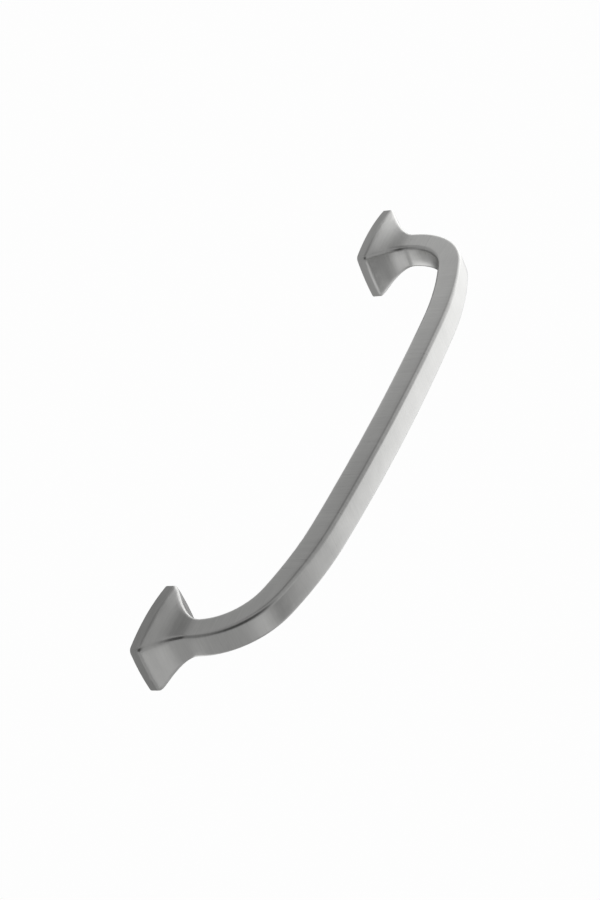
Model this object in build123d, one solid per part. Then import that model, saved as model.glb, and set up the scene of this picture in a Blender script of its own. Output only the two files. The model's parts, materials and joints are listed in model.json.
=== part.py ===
from build123d import *
import math
import os

# Cabinet pull, cast in one piece: two flared feet joined by a bowed bar with soft edges.
# The origin lies midway between the two screw holes, on the plane of the feet's backs.
# +X runs along the pull and +Z points away from the door. Sizes are in millimetres.

# Feet
hole_spacing = 128.0  # between the two screw holes
plate_length = 18.9  # along the pull, from corner to corner
plate_width = 11.4  # across the pull, from corner to corner
side_bow = 0.90  # swell of a foot's two long sides past their corners
end_bow = 0.35  # swell of its two short sides
corner_radius = 1.2  # upright corners of the foot
rim_height = 2.2  # upright band round the foot
rim_edge_height = 1.0  # part of that height over which the front edge of the rim rounds off
flare_height = 7.0  # from the rim up to where the flare has run out into the bar

# Bar
bar_depth = 5.6  # from the inner face to the outer face
leg_width = 5.8  # across the pull, beside the feet
crown_width = 6.8  # across the pull, at the middle
edge_radius = 0.9  # the four long edges

# Centre line of the bar, seen from the side
leg_height = 8.9  # straight stretch up from the door
bend_radius = 14.7
bend_angle = 72.4  # degrees
shoulder_radius = 82.0
shoulder_angle = 14.4  # degrees

# Blind screw holes, drilled for an M4 thread
core_diameter = 3.3
core_depth = 10.0  # from the back to the end of the straight part
lead_in_diameter = 4.4  # mouth of the 90 degree countersink
drill_point_angle = 118.0  # degrees

# Sections that the skin is drawn through, from a rim to the middle
edge_steps = 4
flare_steps = 8
bar_steps = 20
bar_grading = 1.4  # above 1, the sections of the bar lie closer together near the feet
corner_pieces = 3  # curves in each rounded corner of a section, which keep its mesh light


def half_centre_line():
    """Centre line from the back of the first foot to the middle of the pull."""
    leg = Line((-hole_spacing / 2, 0), (-hole_spacing / 2, leg_height))
    bend = JernArc(leg @ 1, leg % 1, bend_radius, -bend_angle)
    shoulder = JernArc(bend @ 1, bend % 1, shoulder_radius, -shoulder_angle)
    crown_angle = 90 - bend_angle - shoulder_angle
    crown_radius = -(shoulder @ 1).X / math.sin(math.radians(crown_angle))
    crown = JernArc(shoulder @ 1, shoulder % 1, crown_radius, -crown_angle)
    return Wire([Plane.XZ * piece for piece in (leg, bend, shoulder, crown)])


def rounded_corner(side, next_side, reach):
    """Round from the end of one side to the start of the next, as a row of short curves."""
    handles = (side @ 1 + side % 1 * reach, next_side @ 0 - next_side % 0 * reach)
    whole = Bezier(side @ 1, *handles, next_side @ 0)
    cuts = [i / corner_pieces for i in range(corner_pieces + 1)]
    return [whole.trim(first, last) for first, last in zip(cuts, cuts[1:])]


def outline(length, width, length_bow, width_bow, radius):
    """Rectangle with swelling sides and rounded corners; its length lies along X."""
    corners = [Vector(x * length / 2, y * width / 2) for x, y in ((1, 1), (-1, 1), (-1, -1), (1, -1))]
    swells = [Vector(0, width_bow), Vector(-length_bow, 0), Vector(0, -width_bow), Vector(length_bow, 0)]
    sides = []
    for start, end, swell in zip(corners, corners[1:] + corners[:1], swells):
        sides.append(Bezier(start, (start + end) / 2 + swell * 2, end))
    turn = math.radians((sides[0] % 1).get_angle(sides[1] % 0))
    setback = radius * math.tan(turn / 2)
    reach = radius * math.tan(turn / 4) * 4 / 3
    sides = [side.trim(setback / side.length, 1 - setback / side.length) for side in sides]
    edges = []
    for side, next_side in zip(sides, sides[1:] + sides[:1]):
        edges += [side, *rounded_corner(side, next_side, reach)]
    return make_face(edges)


def overhang_share(distance):
    """How much of the foot's overhang is left at a distance from the door: 1 on the rim, 0 on the bar."""
    cove = max(0.0, 1 - (distance - rim_height) / flare_height) ** 2
    softness = rim_edge_height / flare_height
    near_edge = max(0.0, softness - abs(cove - 1)) / softness
    return min(1.0, cove) - softness * near_edge**2 / 4


def section(centre_line, distance):
    """Section across the foot, the flare or the bar, at a distance along the centre line."""
    origin = centre_line.position_at(distance, position_mode=PositionMode.LENGTH)
    tangent = centre_line.tangent_at(distance, position_mode=PositionMode.LENGTH)
    plane = Plane(origin, x_dir=tangent.cross(Vector(0, 1, 0)), z_dir=tangent)
    off_middle = origin.X / (hole_spacing / 2)
    bar_width = crown_width - (crown_width - leg_width) * off_middle**2
    share = overhang_share(distance)
    return plane * outline(
        bar_depth + (plate_length - bar_depth) * share,
        bar_width + (plate_width - bar_width) * share,
        end_bow * share,
        side_bow * share,
        edge_radius + (corner_radius - edge_radius) * share,
    )


def stations(start, end, steps, grading=1.0):
    """Distances from start up to, and not including, end."""
    return [start + (end - start) * (i / steps) ** grading for i in range(steps)]


def skin(rim_top):
    """The soft rim edges, the flares and the bar, as one loft from foot to foot."""
    centre_line = half_centre_line()
    flare_start = rim_height + rim_edge_height / 2
    flare_end = rim_height + flare_height
    middle = centre_line.length
    distances = stations(rim_top, flare_start, edge_steps)
    distances += stations(flare_start, flare_end, flare_steps)
    distances += stations(flare_end, middle, bar_steps, bar_grading) + [middle]
    half = [section(centre_line, distance) for distance in distances]
    other_half = [mirror(face, about=Plane.YZ) for face in reversed(half[:-1])]
    return loft(half + other_half)


def screw_hole():
    """Tapping hole up from the back of a foot, with its countersink and drill point."""
    radius = core_diameter / 2
    mouth = lead_in_diameter / 2
    tip = core_depth + radius / math.tan(math.radians(drill_point_angle / 2))
    profile = Polyline((0, 0), (mouth, 0), (radius, mouth - radius), (radius, core_depth), (0, tip), close=True)
    return revolve(Plane.XZ * make_face(profile), Axis.Z)


def pull_handle():
    """The whole casting."""
    rim_top = rim_height - rim_edge_height / 2
    body = skin(rim_top)
    for end_face in body.faces().filter_by(GeomType.PLANE):
        body += extrude(end_face, rim_top, dir=(0, 0, -1))
    holes = Locations((-hole_spacing / 2, 0), (hole_spacing / 2, 0)) * screw_hole()
    return body - holes


os.makedirs("parts", exist_ok=True)
export_step(pull_handle(), "parts/pull_handle.step")
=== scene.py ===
import json
import math

import bpy
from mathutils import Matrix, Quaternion, Vector

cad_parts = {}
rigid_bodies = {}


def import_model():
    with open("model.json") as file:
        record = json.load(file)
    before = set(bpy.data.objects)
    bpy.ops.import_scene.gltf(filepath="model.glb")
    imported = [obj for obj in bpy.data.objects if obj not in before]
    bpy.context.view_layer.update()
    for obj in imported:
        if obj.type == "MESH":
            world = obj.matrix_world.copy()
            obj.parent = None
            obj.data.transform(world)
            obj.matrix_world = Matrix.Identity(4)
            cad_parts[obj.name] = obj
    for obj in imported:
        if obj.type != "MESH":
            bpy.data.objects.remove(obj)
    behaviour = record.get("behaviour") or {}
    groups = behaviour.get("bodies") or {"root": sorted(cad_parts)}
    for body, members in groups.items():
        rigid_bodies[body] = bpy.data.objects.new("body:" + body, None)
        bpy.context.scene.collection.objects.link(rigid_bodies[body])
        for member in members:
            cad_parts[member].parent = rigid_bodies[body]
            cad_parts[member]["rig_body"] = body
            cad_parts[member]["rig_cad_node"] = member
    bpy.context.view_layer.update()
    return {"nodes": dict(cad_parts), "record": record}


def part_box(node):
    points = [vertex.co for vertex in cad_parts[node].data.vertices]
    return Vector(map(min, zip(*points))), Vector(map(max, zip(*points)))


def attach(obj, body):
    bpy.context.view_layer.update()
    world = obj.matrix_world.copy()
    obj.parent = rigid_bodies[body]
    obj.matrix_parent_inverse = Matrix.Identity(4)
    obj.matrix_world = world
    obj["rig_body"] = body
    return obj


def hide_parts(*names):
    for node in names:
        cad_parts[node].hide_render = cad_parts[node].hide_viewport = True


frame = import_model()

MM = 0.001  # one millimetre in scene units

# In the picture the foot at -X is the lower one, and the other is the upper one
screw_holes = next(mount for mount in frame["record"]["mounts"] if mount["name"] == "screw_holes")
hole_spacing = screw_holes["dims"]["spacing_x_mm"] * MM
hole_places = (-hole_spacing / 2, hole_spacing / 2)  # along the pull: lower and upper foot

# Camera, in the part's own frame
camera_place = Vector((-376.3, 299.6, 286.8)) * MM
camera_target = Vector((-6.86, 0, 8.43)) * MM  # shown in the middle of the picture
camera_roll = math.radians(87.23)  # the camera lies nearly on its side
camera_lens = 104.0  # millimetres
sensor_length = 36.0  # millimetres, its long side
camera_near = 10.0 * MM  # nothing closer than this is drawn

# Satin finish
nickel_dark = "B4B4B3"
nickel_light = "DCDCDA"
sheen_low = 0.24  # roughness in the smoothest strokes
sheen_high = 0.36  # roughness in the coarsest
stroke_pitch = 0.4 * MM  # real brush strokes lie about 0.05 mm apart: drawn coarser so that they show
stroke_length = 7.0 * MM
stroke_depth = 0.003 * MM
stroke_detail = 3.0  # finer strokes within each stroke
stroke_contrast = 0.6  # of those finer strokes
cloud_size = 9.0 * MM  # slow change of the plating's lightness
cloud_detail = 2.0
cloud_share = 0.4  # of the lightness: the strokes give the rest
bend_start = 46.0 * MM  # from the middle, where the strokes begin to turn with the bend
bend_end = 60.0 * MM  # from the middle, where they lie level round the leg

# Skin of the casting
merge_distance = 0.002 * MM  # corners of facets that lie closer than this become one
smooth_below = math.radians(32)  # edges that turn by less than this are drawn round

# M4 thread in the screw holes, which the CAD leaves as plain walls
thread_pitch = 0.7 * MM
thread_root = 2.05 * MM  # sharp bottom of the groove, from the hole's axis
thread_air = 1.5 * MM  # inner side of the cutter, clear of the hole's wall
thread_turns = 13
thread_facets = 32  # in each turn
groove_corners = 3

# Light tent round the pull, evenly lit, with soft boxes behind its cloth and dark flags in front of it.
# Each has its bearing from +X towards +Y, its height and its reach in degrees.
# Then comes the light that a box adds or the share that a flag takes away.
tent_glow = 0.42
soft_boxes = {
    "key": (-25, 5, 50, 0.80),  # seen in the bar's outer face
    "wash": (-40, 35, 70, 0.20),  # fades the key along the bar
    "top": (10, 20, 30, 0.45),  # seen in the upper foot's near flare
    "back": (-110, -45, 35, 0.80),  # seen in the inner side of the upper leg
    "low": (0, -20, 40, 0.30),  # seen in the side of the upper leg
    "left": (-125, 45, 20, 0.25),  # seen in the lower foot's outer flare
}
dark_flags = {
    "camera_opening": (140, 30, 40, 0.85),  # where the camera looks in: seen in the edges of the bends
    "camera_stand": (135, -20, 45, 0.45),  # under the camera: seen in the edges of the legs
    "side_flag": (65, 0, 30, 0.45),  # seen in the near edge of the bar
    "high_flag": (10, 50, 30, 0.30),  # seen in that edge too, beside the bar's outer face
    "low_flag": (-50, -25, 35, 0.85),  # seen in the far edge of the bar
    "left_flag": (-100, 60, 20, 0.55),  # seen in the lower bend and the upper foot's inner flare
}
even_share = 0.4  # of a box's or flag's reach, before it begins to fade
tent_radius = 400.0 * MM
tent_segments = 64
tent_rings = 32

# Floor, and the shade on it round the feet
white = (1, 1, 1, 1)
floor_size = 6000.0 * MM
floor_drop = 0.05 * MM  # below the backs of the feet
floor_white = 0.985
shade_reach = 3.0 * MM  # round a foot, whose rim mirrors it
shade_height = 0.05 * MM  # above the backs of the feet, so that the backs don't mirror it
shade_greys = (0.30, 0.40)  # lower and upper foot: the upper one stands nearer to the key

# Small lit card, seen in the upper foot's inner flare
card_place = Vector((-18, -53, 40)) * MM
card_aim = Vector((61, 0, 8)) * MM
card_width = 45.0 * MM
card_height = 90.0 * MM
card_glow = 0.80

# Sockets of a Mix node, which go by number because several have the same name
share_in = 0
value_a = 2
value_b = 3
colour_a = 6
colour_b = 7
value_out = 0
colour_out = 2


def linear(hex_colour):
    """Linear RGBA of an sRGB hex colour."""
    channels = [int(hex_colour[i:i + 2], 16) / 255 for i in (0, 2, 4)]
    return [c / 12.92 if c <= 0.04045 else ((c + 0.055) / 1.055) ** 2.4 for c in channels] + [1.0]


def blank_material(name):
    """A material without nodes, and its tree."""
    material = bpy.data.materials.new(name)
    material.use_nodes = True
    material.node_tree.nodes.clear()
    return material, material.node_tree


def add_node(tree, kind, settings=None, links=None):
    """A node with its settings, which are properties or input values, and the sockets that feed it."""
    node = tree.nodes.new(kind)
    for name, value in (settings or {}).items():
        if isinstance(name, str) and hasattr(node, name):
            setattr(node, name, value)
        else:
            node.inputs[name].default_value = value
    for name, socket in (links or {}).items():
        tree.links.new(socket, node.inputs[name])
    return node


def satin_nickel():
    """Nickel plate on a zinc casting, brushed round the bar: a soft grey sheen with faint cross strokes."""
    material, tree = blank_material("brushed_satin_nickel")
    place = add_node(tree, "ShaderNodeTexCoord").outputs["Object"]

    # Strokes lie across the bar and level round the legs: close together one way and long the other
    along = 1 / stroke_pitch
    around = 1 / stroke_length
    fine = {"Scale": 1.0, "Detail": stroke_detail, "Roughness": stroke_contrast}
    bar_axes = add_node(tree, "ShaderNodeMapping", {"Scale": (along, around, around)}, {"Vector": place})
    bar_strokes = add_node(tree, "ShaderNodeTexNoise", fine, {"Vector": bar_axes.outputs["Vector"]})
    leg_axes = add_node(tree, "ShaderNodeMapping", {"Scale": (around, around, along)}, {"Vector": place})
    leg_strokes = add_node(tree, "ShaderNodeTexNoise", fine, {"Vector": leg_axes.outputs["Vector"]})
    axes = add_node(tree, "ShaderNodeSeparateXYZ", links={"Vector": place})
    from_middle = add_node(tree, "ShaderNodeMath", {"operation": "ABSOLUTE"}, {0: axes.outputs["X"]})
    turn = {"interpolation_type": "SMOOTHSTEP", "From Min": bend_start, "From Max": bend_end}
    leg_share = add_node(tree, "ShaderNodeMapRange", turn, {"Value": from_middle.outputs["Value"]})
    strokes = add_node(
        tree,
        "ShaderNodeMix",
        {"data_type": "FLOAT"},
        {
            share_in: leg_share.outputs["Result"],
            value_a: bar_strokes.outputs["Fac"],
            value_b: leg_strokes.outputs["Fac"],
        },
    ).outputs[value_out]

    # Slow clouds and the strokes together make the plating lighter and darker
    cloud = {"Scale": 1 / cloud_size, "Detail": cloud_detail}
    clouds = add_node(tree, "ShaderNodeTexNoise", cloud, {"Vector": place}).outputs["Fac"]
    shares = {"data_type": "FLOAT", share_in: cloud_share}
    lightness = add_node(tree, "ShaderNodeMix", shares, {value_a: strokes, value_b: clouds})
    colours = {"data_type": "RGBA", colour_a: linear(nickel_dark), colour_b: linear(nickel_light)}
    colour = add_node(tree, "ShaderNodeMix", colours, {share_in: lightness.outputs[value_out]})

    sheens = {"To Min": sheen_low, "To Max": sheen_high}
    sheen = add_node(tree, "ShaderNodeMapRange", sheens, {"Value": strokes})
    depth = {"Strength": 1.0, "Distance": stroke_depth}
    scratches = add_node(tree, "ShaderNodeBump", depth, {"Height": strokes})
    metal = add_node(
        tree,
        "ShaderNodeBsdfPrincipled",
        {"Metallic": 1.0},
        {
            "Base Color": colour.outputs[colour_out],
            "Roughness": sheen.outputs["Result"],
            "Normal": scratches.outputs["Normal"],
        },
    )
    add_node(tree, "ShaderNodeOutputMaterial", links={"Surface": metal.outputs["BSDF"]})
    return material


def thread_cutter():
    """Winding ridge with the section of a thread's groove: an equilateral triangle that points outwards."""
    bpy.ops.object.select_all(action="DESELECT")
    corner_radius = (thread_root - thread_air) / 1.5  # such a triangle is 1.5 times as high as this
    bpy.ops.mesh.primitive_circle_add(
        vertices=groove_corners,
        radius=corner_radius,
        location=(thread_root - corner_radius, 0, -thread_pitch),  # begins a turn outside the hole
        rotation=(-math.pi / 2, -math.pi / 2, 0),  # upright, with one corner outwards
    )
    bpy.ops.object.transform_apply()
    cutter = bpy.context.object
    winding = cutter.modifiers.new("winding", "SCREW")
    winding.iterations = thread_turns
    winding.screw_offset = thread_pitch
    winding.steps = thread_facets
    winding.render_steps = thread_facets
    bpy.ops.object.modifier_apply(modifier="winding")
    bpy.ops.object.mode_set(mode="EDIT")
    bpy.ops.mesh.select_all(action="SELECT")
    bpy.ops.mesh.fill_holes(sides=groove_corners)
    bpy.ops.mesh.normals_make_consistent(inside=False)
    bpy.ops.object.mode_set(mode="OBJECT")
    return cutter


def cut_threads(pull):
    """The thread's groove in the walls of both screw holes."""
    cutter = thread_cutter()
    bpy.context.view_layer.objects.active = pull
    for hole in hole_places:
        cutter.location.x = hole
        groove = pull.modifiers.new("groove", "BOOLEAN")
        groove.object = cutter
        bpy.ops.object.modifier_apply(modifier="groove")
    bpy.data.objects.remove(cutter)


def cast_pull():
    """The casting with its facets merged into one smooth skin, in place of the CAD node."""
    bpy.ops.object.select_all(action="DESELECT")
    node = frame["nodes"]["pull_handle"]
    node.select_set(True)
    bpy.context.view_layer.objects.active = node
    bpy.ops.object.duplicate()
    pull = bpy.context.object
    pull.name = "cast_pull"
    for key in ("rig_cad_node", "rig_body"):  # marks of the CAD node, which the copy isn't
        del pull[key]
    pull.parent = None
    bpy.ops.object.mode_set(mode="EDIT")
    bpy.ops.mesh.select_all(action="SELECT")
    bpy.ops.mesh.remove_doubles(threshold=merge_distance)
    bpy.ops.mesh.customdata_custom_splitnormals_clear()
    bpy.ops.object.mode_set(mode="OBJECT")
    cut_threads(pull)
    pull.select_set(True)
    bpy.ops.object.shade_smooth_by_angle(angle=smooth_below)
    pull.data.materials.clear()
    pull.data.materials.append(satin_nickel())
    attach(pull, "root")
    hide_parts("pull_handle")


def soft_patch(tree, direction, bearing, height, reach, inside, outside=0.0):
    """A value that fades from inside a round patch of the tent to outside it."""
    bearing, height, reach = math.radians(bearing), math.radians(height), math.radians(reach)
    level = math.cos(height)
    middle = (level * math.cos(bearing), level * math.sin(bearing), math.sin(height))
    towards = {"operation": "DOT_PRODUCT", 1: middle}
    facing = add_node(tree, "ShaderNodeVectorMath", towards, {0: direction})
    feather = {
        "interpolation_type": "SMOOTHSTEP",
        "From Min": math.cos(reach),
        "From Max": math.cos(reach * even_share),
        "To Min": outside,
        "To Max": inside,
    }
    patch = add_node(tree, "ShaderNodeMapRange", feather, {"Value": facing.outputs["Value"]})
    return patch.outputs["Result"]


def tent_cloth():
    """Glowing cloth, brighter where a soft box stands behind it and darker behind a flag."""
    material, tree = blank_material("lit_tent_cloth")
    place = add_node(tree, "ShaderNodeTexCoord").outputs["Object"]
    outwards = add_node(tree, "ShaderNodeVectorMath", {"operation": "NORMALIZE"}, {0: place})
    direction = outwards.outputs["Vector"]
    first_glow, *glows = [soft_patch(tree, direction, *box) for box in soft_boxes.values()]
    light = add_node(tree, "ShaderNodeMath", {"operation": "ADD", 1: tent_glow}, {0: first_glow})
    for glow in glows:
        both = {0: light.outputs["Value"], 1: glow}
        light = add_node(tree, "ShaderNodeMath", {"operation": "ADD"}, both)
    for *spot, share in dark_flags.values():
        left = soft_patch(tree, direction, *spot, inside=1 - share, outside=1.0)
        both = {0: light.outputs["Value"], 1: left}
        light = add_node(tree, "ShaderNodeMath", {"operation": "MULTIPLY"}, both)
    strength = {"Strength": light.outputs["Value"]}
    cloth = add_node(tree, "ShaderNodeEmission", {"Color": white}, strength)
    add_node(tree, "ShaderNodeOutputMaterial", links={"Surface": cloth.outputs["Emission"]})
    return material


def floor_sheet():
    """Evenly lit white from above, and clear from below so that the backs of the feet can be seen."""
    material, tree = blank_material("white_lit_floor")
    lit = add_node(tree, "ShaderNodeEmission", {"Color": white, "Strength": floor_white})
    clear = add_node(tree, "ShaderNodeBsdfTransparent")
    below = add_node(tree, "ShaderNodeNewGeometry").outputs["Backfacing"]
    sides = {0: below, 1: lit.outputs["Emission"], 2: clear.outputs["BSDF"]}
    sheet = add_node(tree, "ShaderNodeMixShader", links=sides)
    add_node(tree, "ShaderNodeOutputMaterial", links={"Surface": sheet.outputs["Shader"]})
    return material


def even_glow(name, strength):
    """White that glows evenly."""
    material, tree = blank_material(name)
    glow = add_node(tree, "ShaderNodeEmission", {"Color": white, "Strength": strength})
    add_node(tree, "ShaderNodeOutputMaterial", links={"Surface": glow.outputs["Emission"]})
    return material


def foot_card():
    """The small lit card, which only the metal sees."""
    facing = (card_aim - card_place).to_track_quat("Z", "Y").to_euler()
    bpy.ops.mesh.primitive_plane_add(size=1, location=card_place, rotation=facing)
    card = bpy.context.object
    card.name = "foot_card"
    card.scale = (card_width, card_height, 1)
    bpy.ops.object.transform_apply()
    card.visible_camera = False
    card.data.materials.append(even_glow("lit_card", card_glow))


def foot_shades():
    """The shade round the feet where they meet the floor. Only the metal sees it."""
    foot_end, foot_side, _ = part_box("pull_handle")[1]
    length = 2 * (foot_end - max(hole_places) + shade_reach)
    width = 2 * (foot_side + shade_reach)
    for hole, grey in zip(hole_places, shade_greys):
        bpy.ops.mesh.primitive_plane_add(size=1, location=(hole, 0, shade_height))
        patch = bpy.context.object
        patch.name = "foot_shade"
        patch.scale = (length, width, 1)
        bpy.ops.object.transform_apply()
        patch.visible_camera = False
        patch.data.materials.append(even_glow("shaded_floor", grey))


def studio():
    """A light tent that only the metal sees, and a white room and floor that it doesn't mirror."""
    bpy.ops.mesh.primitive_uv_sphere_add(
        segments=tent_segments,
        ring_count=tent_rings,
        radius=tent_radius,
    )
    tent = bpy.context.object
    tent.name = "light_tent"
    tent.visible_camera = False
    tent.data.materials.append(tent_cloth())

    bpy.ops.mesh.primitive_plane_add(size=floor_size, location=(0, 0, -floor_drop))
    bpy.ops.object.transform_apply()
    floor = bpy.context.object
    floor.name = "white_floor"
    floor.visible_glossy = False
    floor.data.materials.append(floor_sheet())

    foot_shades()
    foot_card()

    world = bpy.data.worlds.new("white_room")
    bpy.context.scene.world = world
    world.use_nodes = True
    background = world.node_tree.nodes["Background"]
    background.inputs["Color"].default_value = white
    background.inputs["Strength"].default_value = floor_white


def camera():
    """The photograph's viewpoint."""
    bpy.ops.object.camera_add(location=camera_place)
    eye = bpy.context.object
    eye.rotation_mode = "QUATERNION"
    upright = (camera_target - camera_place).to_track_quat("-Z", "Y")
    eye.rotation_quaternion = upright @ Quaternion((0, 0, 1), camera_roll)
    eye.data.lens = camera_lens
    eye.data.sensor_width = sensor_length
    eye.data.clip_start = camera_near
    bpy.context.scene.camera = eye


cast_pull()
studio()
camera()
bpy.context.scene.view_settings.view_transform = "Standard"
